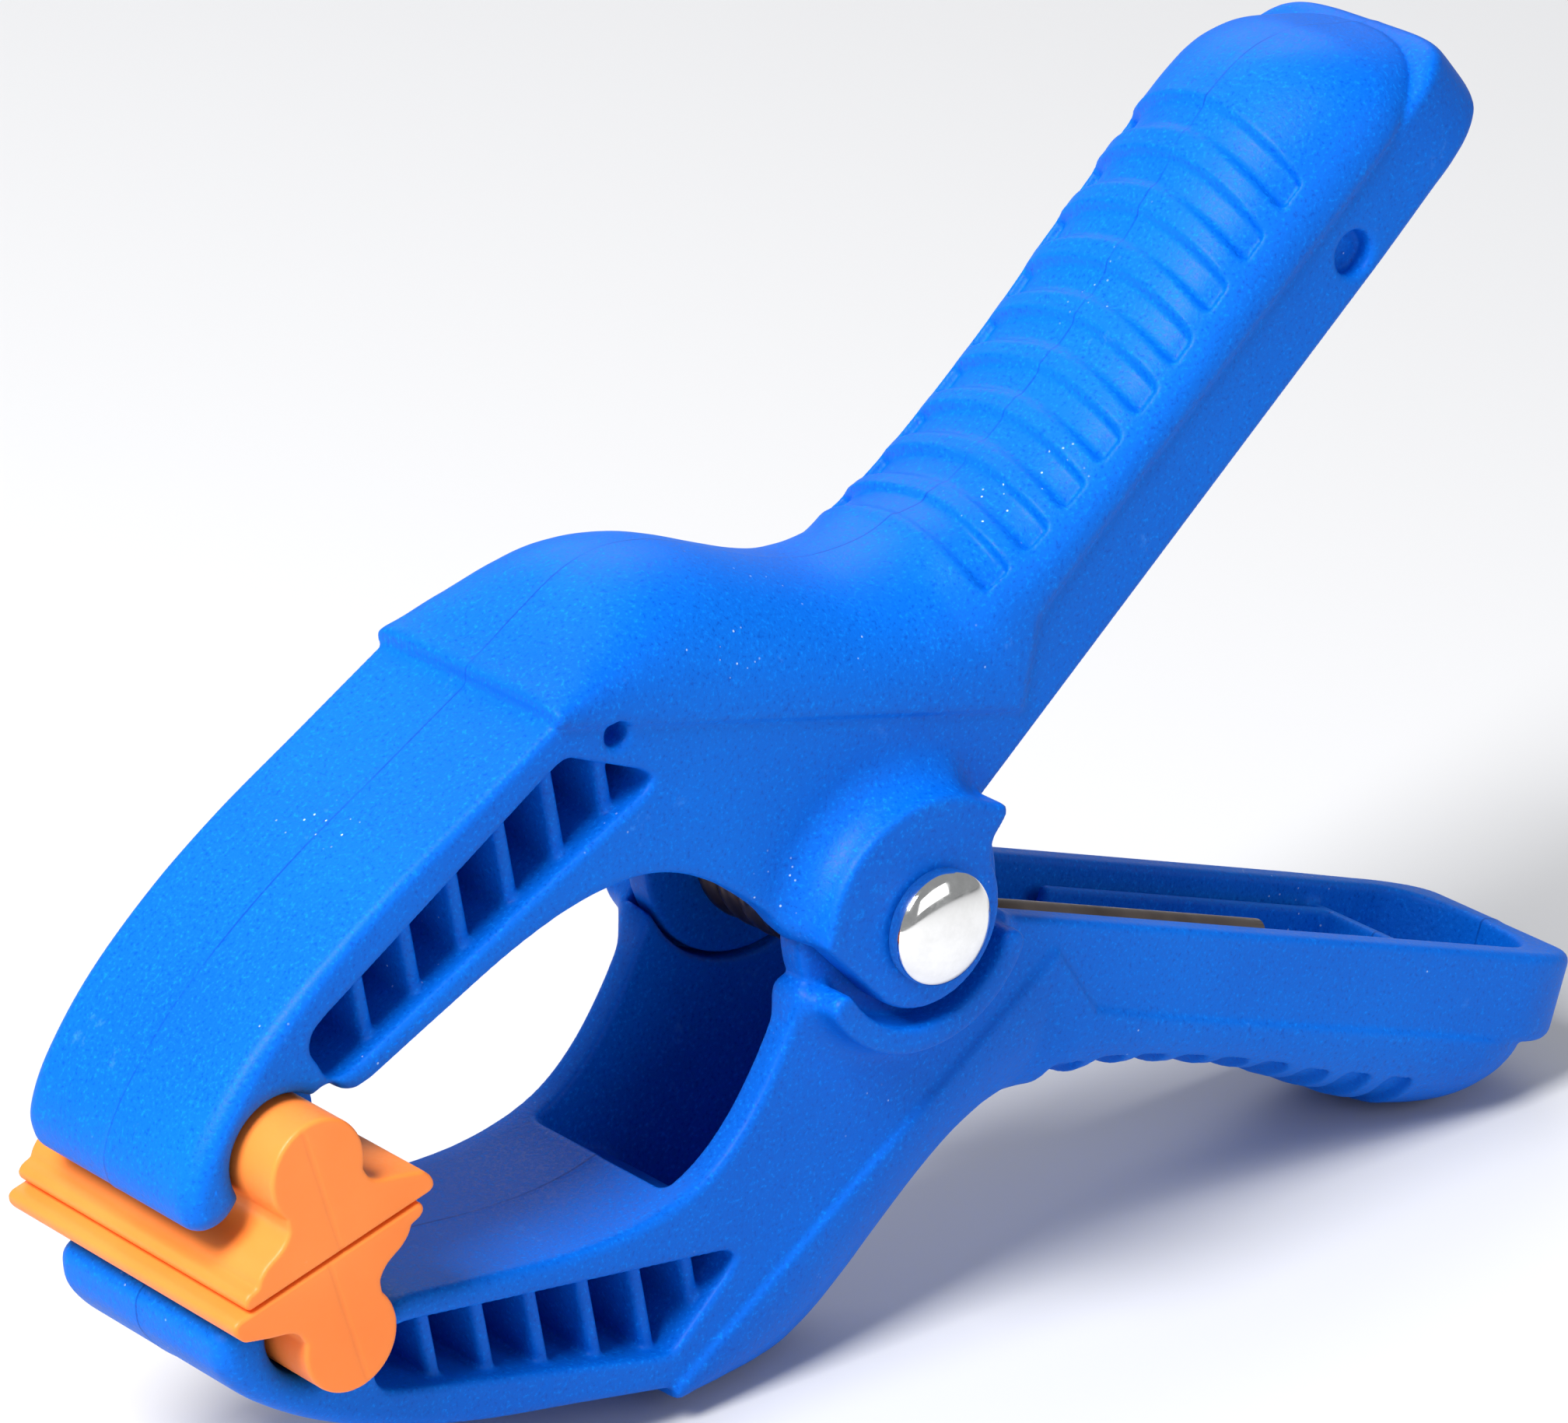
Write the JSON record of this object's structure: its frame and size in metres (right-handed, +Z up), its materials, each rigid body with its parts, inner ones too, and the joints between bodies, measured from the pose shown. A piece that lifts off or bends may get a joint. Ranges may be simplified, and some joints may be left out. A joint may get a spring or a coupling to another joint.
{
  "type": "spring clamp",
  "caption": "Hand spring clamp: two moulded arms on one pivot pin, closed by a torsion spring, with swivelling pads in the jaw tips and hollow ribbed handles.",
  "frame": {"origin": "middle of the footprint, on the surface that the clamp stands on", "axes": "+X from the jaws towards the handles, Y along the pivot pin, +Z up"},
  "size_m": [0.1676, 0.0412, 0.1134],
  "materials": {
    "arm_plastic": "glass-filled nylon, blue, fine spark-eroded texture on the outside and smoother sides",
    "pad_plastic": "soft orange plastic, smooth",
    "nickel": "bright nickel plate",
    "spring_steel": "drawn spring wire, brown-grey"
  },
  "bodies": {
    "lower_arm": {"lower_arm": "arm_plastic", "pivot_pin": "nickel", "pin_cap": "nickel", "torsion_spring": "spring_steel"},
    "upper_arm": {"upper_arm": "arm_plastic"},
    "upper_pad": {"upper_pad": "pad_plastic"},
    "lower_pad": {"lower_pad": "pad_plastic"}
  },
  "joints": [
    {"name": "jaw_hinge", "type": "hinge", "parent": "lower_arm", "child": "upper_arm", "pos_m": [-0.00435, 0, 0.04421], "axis": [0, 1, 0], "range_deg": [0, 44], "stiffness_Nm_per_rad": 2.2, "springref_deg": -68.75, "deforming": ["torsion_spring"]},
    {"name": "upper_pad_swivel", "type": "hinge", "parent": "upper_arm", "child": "upper_pad", "pos_m": [-0.07338, 0, 0.04015], "axis": [0, 1, 0], "range_deg": [-22, 0]},
    {"name": "lower_pad_swivel", "type": "hinge", "parent": "lower_arm", "child": "lower_pad", "pos_m": [-0.07018, 0, 0.02305], "axis": [0, 1, 0], "range_deg": [0, 22]}
  ],
  "couplings": [
    {"joint": "upper_pad_swivel", "follows": "jaw_hinge", "ratio": -0.5},
    {"joint": "lower_pad_swivel", "follows": "jaw_hinge", "ratio": 0.5}
  ]
}
